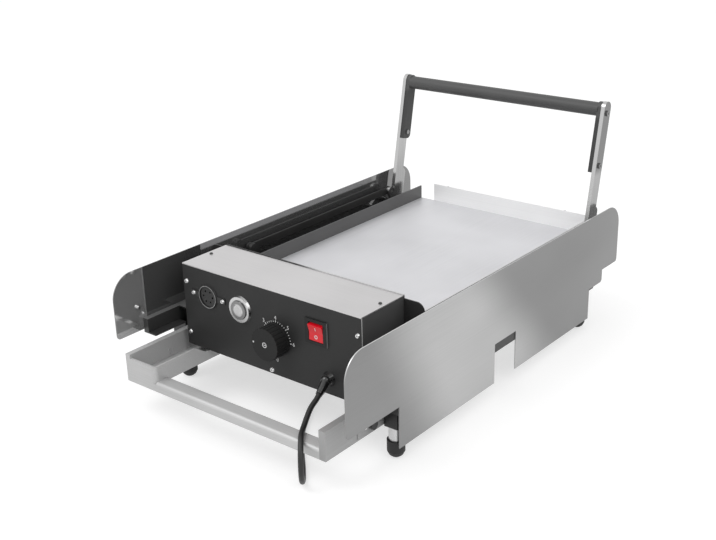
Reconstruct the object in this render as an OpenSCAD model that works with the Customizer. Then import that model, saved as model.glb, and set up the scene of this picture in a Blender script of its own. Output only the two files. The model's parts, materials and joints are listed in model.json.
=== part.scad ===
// Batch bun toaster: fixed base with a control box, a lifting heated platen, a bail handle and its linkage.
// Millimetres. X runs to the right, Y to the back, Z up. The floor is Z = 0.

/* [Overall] */
// Width over the side panels
body_w = 430; // [426:1:450]
// Depth from the tray bar to the rear of the side panels
body_d = 722; // [706:1:760]
// Height of the top edge of the side panels
panel_top = 195; // [193:1:206]
// Height of the top of the handle arms
handle_top = 367; // [350:1:390]

/* [Side panels] */
// Sheet thickness of the side panels
panel_t = 1.5; // [1:0.1:2]
// Height of the panel's lower edge above the floor
panel_leg = 20; // [15:1:24]
// Radius of the upper front corner
front_r = 36; // [20:1:44]
// Radius of the upper rear corner
rear_r = 36; // [8:1:44]
// Width of the middle notch
notch_w = 57; // [40:1:64]
// Height of the front notch of the right panel
notch_z = 82; // [76:1:88]
// Height of the front notch of the left panel
notch_left_z = 99; // [92:1:104]

/* [Platen] */
// Height of the platen's upper face
platen_top = 140; // [139:0.5:142]
// Thickness of each platen plate
plate_t = 10; // [8:0.5:11]
// Height of the side fences above the platen
fence_h = 23; // [14:1:27]
// Height of the rear fence above the platen
rear_fence_h = 31; // [20:1:34]
// Radius of the heater rods
heater_r = 4; // [3:0.25:4.5]

/* [Control box] */
// Depth of the box from front panel to back
box_d = 90; // [82:1:94]
// Height of the box floor
box_z0 = 73; // [72:0.5:75]
// Height of the upper face of the lid
box_z1 = 201; // [199:0.5:206]
// Sheet thickness of the box
sheet_t = 1.5; // [1:0.1:1.8]
// Radius of the knob
knob_r = 24; // [22:0.5:25]
// Height of the knob from panel to front face
knob_h = 23; // [20:0.5:26]
// Radius of the start button's bezel
bezel_r = 20.5; // [18:0.5:22]
// Radius of the start button's cap
cap_r = 13.9; // [12:0.1:15]
// Radius of the buzzer's face
buzzer_r = 18; // [17:0.5:19]
// Width of the switch bezel
switch_w = 38; // [36:0.5:40]
// Height of the switch bezel
switch_h = 36; // [34:0.5:38]

/* [Handle] */
// Lean of the handle to the back at rest, in degrees
handle_lean = 11.5; // [8:0.5:13]
// Width of the flat handle arms
arm_w = 21.5; // [18:0.5:23]
// Radius of the grip bar
grip_r = 11; // [9:0.25:11.5]
// Reach of the cranks from pivot to pin
crank_r = 25; // [24:0.25:26]

/* [Tray frame] */
// Height of the tray frame's sides
tray_h = 42.7; // [38:0.1:44]
// Height of the front bar
bar_h = 14.3; // [12:0.1:16]
// Depth of the front bar
bar_d = 24; // [20:0.5:26]
// Width of the pan on the left
channel_w = 60.5; // [50:0.5:70]
// Height of the pan's front and inner walls above the frame's lower edge
pan_h = 37; // [30:0.1:40]
// Width of the hollow wall on the left
wall_w = 9; // [6:0.5:10]
// Width of the hollow rail on the right
tube_w = 10.5; // [9:0.5:13]

/* [Feet] */
// Radius of the rubber feet
foot_r = 12.5; // [10:0.5:13]
// Height of the rubber feet
foot_h = 25; // [20:0.5:28]

/* [Cord] */
// Radius of the mains cord
cord_r = 3.8; // [3.5:0.1:4]

/* [Hidden] */
$fn = 64;

// half widths
half_w = body_w / 2;
panel_in = half_w - panel_t;
rail_t = 2;
rail_inset = 26.8;
rail_in = half_w - rail_inset;
wing_inset = 15;
wing_foot = 16;
rail_lip = 10;
tray_inset = 27.4;
box_inset = 48.4;
platen_inset = 47;
lift_inset = 37;
tray_hw = half_w - tray_inset;
box_hw = half_w - box_inset;
platen_hw = half_w - platen_inset;
fence_t = 2;
// stations along the depth
y_front = -body_d / 2;
y_rear = body_d / 2;
panel_y0 = y_front + 9;
notch1_y = y_front + 116.5;
notch2_y = y_front + 0.479 * body_d;
notch4_y = y_rear - 92.4;
notch5_y = y_rear - 50;
box_y0 = y_front + 102.6;
box_y1 = box_y0 + box_d;
bulk_t = 2;
bulk_lip = 1;
bulk_y1 = box_y1 + bulk_t;
rail_y0 = y_front + 59;
rail_y1 = notch1_y + 0.5;
rail_y2 = y_rear - 76;
rail_y3 = y_rear - 6;
rail_wide_y = box_y0 + 20;
beam_y0 = bulk_y1 + 1.4;
beam_d = 25;
post_front_y = bulk_y1 + 13.4;
platen_y0 = post_front_y + 13;
platen_y1 = y_rear - 27;
post_rear_y = platen_y1 + 12;
post_front_x = platen_hw / 2;
post_rear_x = platen_hw - 48;
post_r = 5;
post_front_rise = 45;
post_rear_rise = 26;
post_step = 11;
lug_x = 12;
heater_at = [-0.75, -0.25, 0.25, 0.75] * platen_hw;
fence_gap = 28;
// heights
rail_top = 117;
rail_low = 68;
rail_low_end = 94;
rear_notch_z2 = 71.4;
rear_notch_z1 = 92.3;
notch_r = 5;
stud_at = [y_front + 51.3, 137];
stud_head_r = 2.5;
stud_head_h = 4;
tray_z0 = 46.7;
tray_z1 = tray_z0 + tray_h;
bar_z1 = tray_z0 + bar_h;
pan_z1 = tray_z0 + pan_h;
pan_front_t = 4;
pan_r = 8;
channel_z = 56;
pan_under = 3;
pan_slope_y = 21;
bun_plate_t = 3;
skirt_h = 12;
top_z0 = platen_top - plate_t;
bottom_z1 = top_z0 - skirt_h;
bottom_z0 = bottom_z1 - plate_t;
lift_t = 3;
// linkage
swing = 70;
pivot_y = y_rear - 73;
lever_back = 70;
lever_y = platen_y0 + lever_back;
pivot_z = 143;
crank_a = 180 + swing / 2;
rod_a = 90 + swing / 2;
arm_t = 6.4;
arm_x0 = half_w - 23.4;
arm_x1 = arm_x0 + arm_t;
hub_r = 14;
lug_r = 8;
stud_r = 6;
stud_bore = 6.05;
pin_r = 4;
rod_pin_r = 3;
rod_bore = 3.05;
rod_x0 = arm_x1 + 0.8;
rod_x1 = rod_x0 + 4;
rod_h = 12;
lift_x1 = half_w - lift_inset;
lift_x0 = lift_x1 - lift_t;
slot_gap = 0.75;
slot_r = pin_r + slot_gap;
crank_dy = crank_r * cos(crank_a);
crank_dz = crank_r * sin(crank_a);
rod_dy = crank_r * cos(rod_a);
rod_dz = crank_r * sin(rod_a);
arm_len = (handle_top - pivot_z) / cos(handle_lean);
arm_wide = 7;
arm_wide_s = 50;
grip_drop = 13.9;
leg_len = 114;
leg_t = 7.5;
leg_r = 8;
screw_drop1 = 18.8;
screw_drop2 = 102.5;
nut_t = 2;
arm_top_s = arm_len - arm_w / 2;
grip_s = arm_len - grip_drop;
leg_s = arm_len - leg_len;
grip_screw_s1 = arm_len - screw_drop1;
grip_screw_s2 = arm_len - screw_drop2;
// control panel, measured from the middle of the panel and its lower edge
panel_z1 = box_z1 - sheet_t;
panel_in_y = box_y0 + sheet_t;
knob_x = 0.087 * box_hw;
knob_rise = 56;
knob_z = box_z0 + knob_rise;
switch_x = 0.537 * box_hw;
switch_rise = 87;
switch_z = box_z0 + switch_rise;
switch_body_w = 31;
switch_body_h = 30;
switch_fit = 0.3;
switch_in_x = 12.6;
switch_in_z = 13.8;
rocker_hx = 12.2;
rocker_hz = 11.8;
rocker_rest = 7;
rocker_y = box_y0 + 6;
button_x = -0.31 * box_hw;
button_rise = 84;
button_z = box_z0 + button_rise;
buzzer_x = -0.696 * box_hw;
buzzer_rise = 87;
buzzer_z = box_z0 + buzzer_rise;
buzzer_pitch = 29.4;
gland_x = 0.647 * box_hw;
gland_z = box_z0 + 23;
gland_tilt = 25;
gland_swing = 14;
relief_l = 24;
relay_x = -0.63 * box_hw;
block_x = 0.576 * box_hw;
lid_gap = 0.2;
lid_screw_x = box_hw - 8.6;
lid_screw_y = box_y0 + 0.56 * box_d;
lid_flange = 14;
screw_x = box_hw - 6.6;
panel_screw_at = [[-screw_x, box_z0 + 101], [-screw_x, box_z0 + 20.5], [screw_x, box_z0 + 101],
    [screw_x, box_z0 + 20.5], [3, box_z0 + 5.5]];
// feet
foot_x = half_w - 15;
foot_rear_x = half_w - 21;
foot_front_y = notch1_y + 11.5;
foot_rear_y = rail_y2 - 13;
sleeve_r = foot_r - 2.5;
sleeve_z1 = 45;
leg_hw = 11;
leg_rear_hw = 7;

// plain shapes
module box3(a, b) {
    translate(a) cube(b - a);
}

module xcyl(x0, x1, y, z, r) {
    translate([x0, y, z]) rotate([0, 90, 0]) cylinder(h = x1 - x0, r = r);
}

module ycyl(y0, y1, x, z, r, r2 = -1) {
    translate([x, y0, z]) rotate([-90, 0, 0]) cylinder(h = y1 - y0, r1 = r, r2 = r2 < 0 ? r : r2);
}

module zcyl(z0, z1, x, y, r, r2 = -1) {
    translate([x, y, z0]) cylinder(h = z1 - z0, r1 = r, r2 = r2 < 0 ? r : r2);
}

// a shape drawn in depth and height, given its thickness across
module across(x0, x1) {
    translate([x0, 0, 0]) rotate([90, 0, 90]) linear_extrude(x1 - x0) children();
}

// a shape drawn in width and height, given its thickness in depth
module facing(y0, y1) {
    translate([0, y1, 0]) rotate([90, 0, 0]) linear_extrude(y1 - y0) children();
}

module both_sides() {
    children();
    mirror([1, 0, 0]) children();
}

// what a rounded corner takes away, sy and sz point to the inside
module corner_out(y, z, r, sy, sz) {
    translate([y, z]) difference() {
        translate([sy > 0 ? -1 : -r, sz > 0 ? -1 : -r]) square(r + 1);
        translate([sy * r, sz * r]) circle(r);
    }
}

// side panels
module panel_outline(front_z) {
    difference() {
        translate([panel_y0, panel_leg]) square([y_rear - panel_y0, panel_top - panel_leg]);
        translate([panel_y0 - 1, panel_leg - 1]) square([notch1_y - panel_y0 + 1, front_z - panel_leg + 1]);
        translate([notch2_y, panel_leg - 1]) square([notch_w, 83.7 - panel_leg]);
        translate([notch4_y, panel_leg - 1]) square([y_rear - notch4_y + 1, rear_notch_z2 - panel_leg + 1]);
        translate([notch5_y, panel_leg - 1]) square([y_rear - notch5_y + 1, rear_notch_z1 - panel_leg + 1]);
        corner_out(panel_y0, panel_top, front_r, 1, -1);
        corner_out(y_rear, panel_top, rear_r, -1, -1);
        corner_out(panel_y0, front_z, 6, 1, 1);
        corner_out(y_rear, rear_notch_z1, notch_r, -1, 1);
        corner_out(notch5_y, rear_notch_z2, notch_r, -1, 1);
    }
}

module side_panel_right() {
    color([0.7, 0.7, 0.7]) across(panel_in, half_w) panel_outline(notch_z);
}

module side_panel_left() {
    color([0.68, 0.68, 0.68]) across(-half_w, -panel_in) panel_outline(notch_left_z);
}

// inner rails: channels that open to the middle and step down between the legs, closed at the front end
module rail_shape() {
    web = panel_in - rail_t;
    box3([web, rail_y0, rail_low_end], [panel_in, rail_y3, rail_top]);
    box3([web, rail_y1, rail_low], [panel_in, rail_y2, rail_top]);
    box3([panel_in - rail_lip, rail_y0, rail_top - rail_t], [panel_in, rail_y3, rail_top]);
    box3([rail_in, rail_wide_y, rail_top - rail_t], [panel_in, rail_y3, rail_top]);
    box3([panel_in - rail_lip, rail_y0, rail_low_end],
        [panel_in - rail_lip + rail_t, rail_wide_y, rail_top]);
    box3([rail_in, rail_y0, rail_low_end], [panel_in, rail_y1 + rail_t, rail_low_end + rail_t]);
    box3([rail_in, rail_y1, rail_low], [panel_in, rail_y2, rail_low + rail_t]);
    box3([rail_in, rail_y2 - rail_t, rail_low_end], [panel_in, rail_y3, rail_low_end + rail_t]);
    box3([panel_in - rail_lip, rail_y0, rail_low_end], [panel_in, rail_y0 + rail_t, rail_top]);
    box3([rail_in, rail_y1, rail_low], [panel_in, rail_y1 + rail_t, rail_low_end + rail_t]);
    box3([rail_in, rail_y2 - rail_t, rail_low], [panel_in, rail_y2, rail_low_end + rail_t]);
}

module inner_rail_right() {
    color([0.16, 0.16, 0.17]) rail_shape();
}

module inner_rail_left() {
    color([0.16, 0.16, 0.17]) mirror([1, 0, 0]) rail_shape();
}

// beams between the rails
module front_cross_beam() {
    color([0.16, 0.16, 0.17]) difference() {
        box3([-panel_in + rail_t, beam_y0, tray_z0], [panel_in - rail_t, beam_y0 + beam_d, rail_low]);
        box3([-half_w, beam_y0 + 2, tray_z0 + 2], [half_w, beam_y0 + beam_d - 2, rail_low - 2]);
    }
}

module rear_cross_beam() {
    color([0.16, 0.16, 0.17])
        box3([-panel_in + rail_t, post_rear_y - 8, rail_low_end + 3],
            [panel_in - rail_t, post_rear_y + 8, rail_low_end + 11]);
}

// lower plate that the lower rolls rest on
module bun_plate() {
    z = rail_low + rail_t;
    color([0.72, 0.72, 0.73])
        box3([-half_w + 10, beam_y0 + beam_d + 2, z], [half_w - 10, rail_y2 - rail_t - 1, z + bun_plate_t]);
}

// tray frame at the front
module tray_tube(x0, x1) {
    difference() {
        box3([x0, y_front, tray_z0], [x1, beam_y0, tray_z1]);
        box3([x0 + 2, y_front + 3, tray_z0 + 2], [x1 - 2, beam_y0 + 1, tray_z1 - 2]);
    }
}

module tray_channel() {
    xo = -tray_hw;
    xi = xo + channel_w;
    low_z = box_z0 - pan_under;
    high_z = tray_z1 + 1;
    end_y = box_y0 - pan_under;
    top_y = end_y - pan_slope_y * (high_z - low_z) / (pan_z1 - low_z);
    color([0.78, 0.78, 0.79]) difference() {
        union() {
            tray_tube(xo, xo + wall_w);
            box3([xo + wall_w - 1, y_front, channel_z], [xi, beam_y0, channel_z + 2]);
            box3([xo + wall_w - 1, y_front, tray_z0], [xi, y_front + pan_front_t, channel_z + 1]);
            translate([0, 0, channel_z]) linear_extrude(pan_z1 - channel_z) difference() {
                translate([xo + wall_w - 1, y_front]) square([channel_w - wall_w + 1, beam_y0 - y_front]);
                translate([xo + wall_w - 2, y_front + pan_front_t])
                    square([channel_w - wall_w - 1, beam_y0 - y_front]);
                corner_out(xi, y_front, pan_r, -1, 1);
            }
        }
        across(xo + wall_w + 1, xi + 1)
            polygon([[end_y, low_z], [beam_y0 + 1, low_z], [beam_y0 + 1, high_z], [top_y, high_z]]);
        xcyl(xo + wall_w - 3, xo + wall_w + 1, y_front + 74, tray_z0 + 20, 2);
    }
}

module tray_rail() {
    color([0.78, 0.78, 0.79]) difference() {
        tray_tube(tray_hw - tube_w, tray_hw);
        box3([tray_hw - 1, y_front + 61.6, tray_z0 + 3], [tray_hw + 1, y_front + 63.2, tray_z0 + 18]);
    }
}

module tray_bar() {
    x0 = -tray_hw + channel_w;
    x1 = tray_hw - tube_w;
    color([0.8, 0.8, 0.81]) across(x0, x1) difference() {
        translate([y_front, tray_z0]) square([bar_d, bar_h]);
        corner_out(y_front, bar_z1, 5, 1, -1);
        corner_out(y_front + bar_d, bar_z1, 3, -1, -1);
    }
}

module tray_bolts() {
    color([0.85, 0.85, 0.85]) {
        xcyl(tray_hw, tray_hw + 3.5, y_front + 77, tray_z0 + 16, 3.5);
        xcyl(-tray_hw - 3.5, -tray_hw, y_front + 77, tray_z0 + 16, 3.5);
        xcyl(-tray_hw + wall_w - 2, -tray_hw + wall_w, y_front + 74, tray_z0 + 20, 2);
        xcyl(-tray_hw + wall_w, -tray_hw + wall_w + 1.6, y_front + 74, tray_z0 + 20, 3.4);
    }
}

module tray_bush() {
    color([0.2, 0.2, 0.21]) both_sides() xcyl(tray_hw, tray_hw + 6, y_front + 92, tray_z0 + 12.5, 6.5);
}

// legs and feet
module post_shape(x, y, hw) {
    box3([x - hw, y - hw, sleeve_z1], [x + hw, y + hw, rail_low]);
}

module leg_posts() {
    color([0.72, 0.72, 0.73]) both_sides() {
        post_shape(foot_x, foot_front_y, leg_hw);
        post_shape(foot_rear_x, foot_rear_y, leg_rear_hw);
    }
}

module foot_sleeves() {
    color([0.75, 0.75, 0.76]) both_sides() {
        zcyl(foot_h, sleeve_z1, foot_x, foot_front_y, sleeve_r);
        zcyl(foot_h, sleeve_z1, foot_rear_x, foot_rear_y, sleeve_r);
    }
}

module foot_shape(x, y) {
    zcyl(0, 3, x, y, foot_r - 6, foot_r - 2.5);
    zcyl(3, 8, x, y, foot_r - 2.5, foot_r);
    zcyl(8, foot_h, x, y, foot_r);
}

module feet() {
    color([0.08, 0.08, 0.08]) both_sides() {
        foot_shape(foot_x, foot_front_y);
        foot_shape(foot_rear_x, foot_rear_y);
    }
}

// studs that carry the handle arms and the front levers
module stud_shape(y) {
    xcyl(rod_x0 - 0.3, panel_in, y, pivot_z, 9);
    xcyl(arm_x0 - 3.2, rod_x0, y, pivot_z, stud_r);
}

module pivot_studs() {
    color([0.7, 0.7, 0.72]) both_sides() {
        stud_shape(pivot_y);
        stud_shape(lever_y);
    }
}

module clip_shape(y) {
    difference() {
        xcyl(arm_x0 - 2.6, arm_x0 - 0.6, y, pivot_z, 9);
        xcyl(arm_x0 - 4, arm_x0, y, pivot_z, stud_r);
    }
}

module pivot_clips() {
    color([0.3, 0.3, 0.32]) both_sides() {
        clip_shape(pivot_y);
        clip_shape(lever_y);
    }
}

// posts that guide the platen up and down
module guide_posts() {
    color([0.75, 0.75, 0.76]) both_sides() {
        zcyl(rail_low, platen_top + post_front_rise, post_front_x, post_front_y, post_r);
        zcyl(rail_low_end + post_step, platen_top + post_rear_rise, post_rear_x, post_rear_y, post_r);
    }
}

// plate with wings behind the control box, it stands on the rails
module bulkhead() {
    wing_x = half_w - wing_inset;
    r = 12;
    z1 = panel_z1 - 3;
    color([0.12, 0.12, 0.12]) {
        facing(box_y1, bulk_y1) {
            translate([-box_hw, box_z0]) square([2 * box_hw, box_z1 + bulk_lip - box_z0]);
            difference() {
                translate([-wing_x, rail_top]) square([2 * wing_x, z1 - rail_top]);
                corner_out(-wing_x, z1, r, 1, -1);
                corner_out(wing_x, z1, r, -1, -1);
            }
        }
        both_sides() difference() {
            box3([rail_in + 0.5, bulk_y1 - 0.5, rail_top], [wing_x, bulk_y1 + wing_foot, rail_top + 2]);
            zcyl(rail_top - 1, rail_top + 3, rail_in + 6, bulk_y1 + 9, 2.2);
        }
    }
}

module bulkhead_screws() {
    color([0.7, 0.7, 0.7]) both_sides() zcyl(rail_top + 2, rail_top + 4.5, rail_in + 6, bulk_y1 + 9, 4);
}

// control box
module box_case() {
    t = sheet_t;
    lip = 12;
    color([0.1, 0.1, 0.1]) difference() {
        union() {
            box3([-box_hw, panel_in_y, box_z0], [-box_hw + t, box_y1, panel_z1]);
            box3([box_hw - t, panel_in_y, box_z0], [box_hw, box_y1, panel_z1]);
            box3([-box_hw, panel_in_y, box_z0], [box_hw, box_y1, box_z0 + t]);
            box3([-box_hw, box_y1 - t, box_z0], [box_hw, box_y1, panel_z1]);
            box3([-box_hw, panel_in_y, box_z0], [box_hw, panel_in_y + t, box_z0 + lip]);
            box3([-box_hw, panel_in_y, box_z0], [-box_hw + lip, panel_in_y + t, panel_z1]);
            box3([box_hw - lip, panel_in_y, box_z0], [box_hw, panel_in_y + t, panel_z1]);
            both_sides() box3([box_hw - lid_flange, panel_in_y, panel_z1 - t], [box_hw, box_y1, panel_z1]);
        }
        for (s = [-1, 1]) zcyl(panel_z1 - 5, panel_z1 + 1, s * lid_screw_x, lid_screw_y, 1.7);
        for (s = panel_screw_at) ycyl(box_y0 - 1, panel_in_y + 5, s[0], s[1], 2.1);
    }
}

module front_panel() {
    color([0.1, 0.1, 0.1]) facing(box_y0, panel_in_y) difference() {
        translate([-box_hw, box_z0]) square([2 * box_hw, panel_z1 - box_z0]);
        for (s = panel_screw_at) translate(s) circle(2.1);
        translate([knob_x, knob_z]) circle(4.8);
        translate([switch_x - switch_body_w / 2 - switch_fit, switch_z - switch_body_h / 2 - switch_fit])
            square([switch_body_w + 2 * switch_fit, switch_body_h + 2 * switch_fit]);
        translate([button_x, button_z]) circle(cap_r + 1.6);
        translate([buzzer_x, buzzer_z]) circle(buzzer_r - 1.7);
        for (s = [-1, 1]) translate([buzzer_x + s * buzzer_pitch, buzzer_z]) circle(1.9);
        translate([gland_x, gland_z]) circle(8);
    }
}

module lid() {
    z = panel_z1;
    color([0.8, 0.8, 0.8]) difference() {
        box3([-box_hw, box_y0, z], [box_hw, box_y1 - lid_gap, box_z1]);
        for (s = [-1, 1]) zcyl(z - 1, box_z1 + 1, s * lid_screw_x, lid_screw_y, 1.7);
    }
}

module panel_screws() {
    color([0.8, 0.8, 0.8]) for (s = panel_screw_at) {
        ycyl(box_y0 - 2, box_y0, s[0], s[1], 2.6, 3.6);
        ycyl(box_y0, panel_in_y + 4, s[0], s[1], 1.9);
    }
}

module panel_studs() {
    color([0.85, 0.85, 0.85]) both_sides()
        xcyl(panel_in - stud_head_h, panel_in, stud_at[0], stud_at[1], stud_head_r);
}

module lid_screws() {
    color([0.2, 0.2, 0.2]) for (s = [-1, 1]) {
        zcyl(box_z1, box_z1 + 1.6, s * lid_screw_x, lid_screw_y, 2.8, 2);
        zcyl(box_z1 - 8, box_z1, s * lid_screw_x, lid_screw_y, 1.5);
    }
}

module thermostat_body() {
    color([0.75, 0.72, 0.62]) {
        box3([knob_x - 22, panel_in_y, knob_z - 20], [knob_x + 22, panel_in_y + 28, knob_z + 22]);
        ycyl(box_y0 - 0.6, panel_in_y + 1, knob_x, knob_z, 4.5);
        ycyl(box_y0 - 17, box_y0, knob_x, knob_z, 3);
    }
}

module knob() {
    y0 = box_y0 - 1.2;
    color([0.07, 0.07, 0.07]) difference() {
        union() {
            ycyl(y0 - 3.5, y0, knob_x, knob_z, knob_r + 0.5);
            facing(y0 - knob_h, y0 - 3) translate([knob_x, knob_z]) difference() {
                circle(knob_r);
                for (a = [0 : 15 : 345]) rotate(a) translate([knob_r + 0.9, 0]) circle(1.6);
            }
        }
        ycyl(y0 - 16.5, y0 + 1, knob_x, knob_z, 3.05);
    }
}

module switch_housing() {
    color([0.08, 0.08, 0.08]) difference() {
        union() {
            box3([switch_x - switch_w / 2, box_y0 - 2.5, switch_z - switch_h / 2],
                [switch_x + switch_w / 2, box_y0, switch_z + switch_h / 2]);
            box3([switch_x - switch_body_w / 2, box_y0 - 1, switch_z - switch_body_h / 2],
                [switch_x + switch_body_w / 2, box_y0 + 27, switch_z + switch_body_h / 2]);
        }
        box3([switch_x - switch_in_x, box_y0 - 4, switch_z - switch_in_z],
            [switch_x + switch_in_x, box_y0 + 15, switch_z + switch_in_z]);
        xcyl(switch_x - 20, switch_x + 20, rocker_y, switch_z, 1.55);
    }
}

module rocker() {
    color([0.75, 0.08, 0.1]) {
        translate([switch_x, rocker_y, switch_z]) rotate([rocker_rest, 0, 0]) across(-rocker_hx, rocker_hx)
            polygon([[-9.5, rocker_hz], [-7.8, 0], [-9.5, -rocker_hz], [-1, -rocker_hz], [4, -4], [4, 4],
                [-1, rocker_hz]]);
        xcyl(switch_x - 15.2, switch_x + 15.2, rocker_y, switch_z, 1.5);
    }
}

module button_bezel() {
    color([0.75, 0.75, 0.76]) difference() {
        union() {
            ycyl(box_y0 - 4, box_y0, button_x, button_z, bezel_r - 1.5, bezel_r);
            ycyl(box_y0 - 1, box_y0 + 24, button_x, button_z, cap_r + 1.3);
            ycyl(panel_in_y, panel_in_y + 4, button_x, button_z, cap_r + 5);
        }
        ycyl(box_y0 - 5, box_y0 + 19, button_x, button_z, cap_r + 0.35);
    }
}

module button_cap() {
    color([0.8, 0.8, 0.8]) {
        ycyl(box_y0 - 6, box_y0 + 14, button_x, button_z, cap_r);
        ycyl(box_y0 - 6.6, box_y0 - 6, button_x, button_z, cap_r - 6, cap_r - 5);
    }
}

module buzzer() {
    color([0.06, 0.06, 0.06]) difference() {
        union() {
            ycyl(box_y0 - 2.5, box_y0, buzzer_x, buzzer_z, buzzer_r - 0.8, buzzer_r);
            box3([buzzer_x - buzzer_pitch - 4.5, box_y0 - 1.2, buzzer_z - 4.5],
                [buzzer_x + buzzer_pitch + 4.5, box_y0, buzzer_z + 4.5]);
            ycyl(box_y0 - 1, box_y0 + 20, buzzer_x, buzzer_z, buzzer_r - 2);
        }
        ycyl(box_y0 - 4, box_y0 - 1, buzzer_x, buzzer_z, buzzer_r - 2.4);
        for (a = [0 : 60 : 300]) ycyl(box_y0 - 4, box_y0 + 6,
            buzzer_x + 9 * cos(a), buzzer_z + 9 * sin(a), 1.6);
        for (s = [-1, 1]) ycyl(box_y0 - 4, box_y0 + 1, buzzer_x + s * buzzer_pitch, buzzer_z, 1.9);
    }
}

module buzzer_screws() {
    color([0.85, 0.85, 0.85]) for (s = [-1, 1]) {
        ycyl(box_y0 - 3, box_y0 - 1.2, buzzer_x + s * buzzer_pitch, buzzer_z, 2.4, 3.2);
        ycyl(box_y0 - 1.2, panel_in_y + 4, buzzer_x + s * buzzer_pitch, buzzer_z, 1.7);
    }
}

module relay() {
    color([0.25, 0.27, 0.3])
        box3([relay_x - 25, box_y1 - 50, box_z0 + sheet_t], [relay_x + 25, box_y1 - sheet_t, box_z0 + 50]);
}

module terminal_block() {
    color([0.85, 0.85, 0.8]) difference() {
        box3([block_x - 36, box_y1 - 36, box_z0 + sheet_t], [block_x + 36, box_y1 - 12, box_z0 + 22]);
        for (i = [-2 : 2]) ycyl(box_y1 - 37, box_y1 - 28, block_x + 14 * i, box_z0 + 12, 3);
    }
}

// mains cord: gland with a bent strain relief, free stretch, coil and plug
relief_y = box_y0 - 6;
cord_dir = [cos(gland_tilt) * sin(gland_swing), -cos(gland_tilt) * cos(gland_swing), -sin(gland_tilt)];
cord_start = [gland_x, relief_y, gland_z] + cord_dir * relief_l;

module cord_gland() {
    color([0.06, 0.06, 0.06]) {
        ycyl(relief_y, box_y0, gland_x, gland_z, 8.5, 11);
        ycyl(box_y0 - 1, panel_in_y + 8, gland_x, gland_z, 7.8);
        ycyl(panel_in_y, panel_in_y + 5, gland_x, gland_z, 10.5);
        translate([gland_x, relief_y, gland_z]) {
            sphere(7.7);
            rotate([90 + gland_tilt, 0, gland_swing]) cylinder(h = relief_l, r1 = 6.6, r2 = cord_r + 1);
        }
    }
}

// route of the free stretch: over the front bar, round it and back along the floor
floor_z = cord_r + 0.1;
loop_r = (bar_z1 + cord_r + 0.3 - floor_z) / 2;
loop_turn = 39;
loop_x = gland_x + 34.2;
loop_y = y_front + 6;
loop_z = floor_z + loop_r;
coil_c = [loop_x - 196, loop_y + 317];
coil_r0 = 52;
floor_run = [[7.3, 8.3], [16.2, 18], [27.7, 30], [42.2, 45], [58.7, 62.5], [75.5, 83.5], [90, 104],
    [103, 126], [117, 152], [130, 184], [139, 218], [143, 252], [144, 285]];
route = concat(
    [cord_start, cord_start + cord_dir * 2 * cord_r, [gland_x + 9.7, box_y0 - 49, box_z0 + 4.2],
        [gland_x + 15.2, box_y0 - 63.5, box_z0 - 1.7], [gland_x + 20.7, box_y0 - 75, box_z0 - 5.7],
        [gland_x + 26.7, box_y0 - 86, box_z0 - 7.6]],
    [for (a = [90 : 20 : 270])
        [loop_x - loop_r * cos(a) * sin(loop_turn), loop_y + loop_r * cos(a) * cos(loop_turn),
            loop_z + loop_r * sin(a)]],
    [for (f = floor_run) [loop_x - f[0], loop_y + f[1], floor_z]],
    [for (n = [4, 2]) [coil_c[0] + coil_r0, coil_c[1] - n * cord_r, floor_z]]);

function spline(p, i, t) =
    let (n = len(p) - 1, a = p[max(i - 1, 0)], b = p[i], c = p[min(i + 1, n)], d = p[min(i + 2, n)])
    0.5 * (2 * b + (c - a) * t + (2 * a - 5 * b + 4 * c - d) * t * t + (3 * b - a - 3 * c + d) * t * t * t);
function smooth(p, steps) = concat(
    [for (i = [0 : len(p) - 2]) for (k = [0 : steps - 1]) spline(p, i, k / steps)], [p[len(p) - 1]]);
function unit(v) = v / norm(v);
function tangent(p, i) =
    i == 0 ? unit(p[1] - p[0]) : i == len(p) - 1 ? unit(p[i] - p[i - 1]) : unit(p[i + 1] - p[i - 1]);
function carried(n, t) = unit(n - (n * t) * t);
function normals(p, n, i = 0) =
    let (m = carried(n, tangent(p, i))) i == len(p) - 1 ? [m] : concat([m], normals(p, m, i + 1));
function ring(c, n, b, r, sides) =
    [for (k = [0 : sides - 1]) c + r * (cos(360 * k / sides) * n + sin(360 * k / sides) * b)];

// tube along a list of points, six-sided or more, in triangles
module tube(p, r, sides, first) {
    nn = normals(p, first);
    pts = [for (i = [0 : len(p) - 1]) each ring(p[i], nn[i], cross(tangent(p, i), nn[i]), r, sides)];
    m = len(p);
    sidefaces = [for (i = [0 : m - 2]) for (k = [0 : sides - 1]) each
        let (a = i * sides + k, b = i * sides + (k + 1) % sides)
        [[a, a + sides, b], [b, a + sides, b + sides]]];
    ends = [for (k = [1 : sides - 2]) each
        [[0, k, k + 1], [(m - 1) * sides, (m - 1) * sides + k + 1, (m - 1) * sides + k]]];
    polyhedron(points = pts, faces = concat(sidefaces, ends));
}

module cord() {
    color([0.05, 0.05, 0.05]) tube(smooth(route, 2), cord_r, 10, [1, 0, 0]);
}

// coil: spirals in on the floor, climbs and spirals out on top
coil_pitch = 2 * cord_r + 0.8;
coil_turns = 4.5;
coil_steps = 24;
function coil_radius(u) = coil_r0 - coil_pitch * min(u, coil_turns - u);
function coil_rise(u) = coil_pitch * max(0, min(1, (u - 2) / 0.5));
coil_pts = concat(
    [[coil_c[0] + coil_r0, coil_c[1] - 2 * cord_r, floor_z]],
    [for (k = [0 : coil_turns * coil_steps]) let (u = k / coil_steps)
        [coil_c[0] + coil_radius(u) * cos(360 * u), coil_c[1] + coil_radius(u) * sin(360 * u),
            floor_z + coil_rise(u)]],
    [[coil_c[0] - coil_r0, coil_c[1] - 2 * cord_r, floor_z + coil_pitch]]);
coil_gap = min([for (i = [0 : len(coil_pts) - 1]) for (j = [i + 12 : 1 : len(coil_pts) - 1])
    norm(coil_pts[i] - coil_pts[j])]) - 2 * cord_r;
echo(coil_gap = coil_gap);

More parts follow.
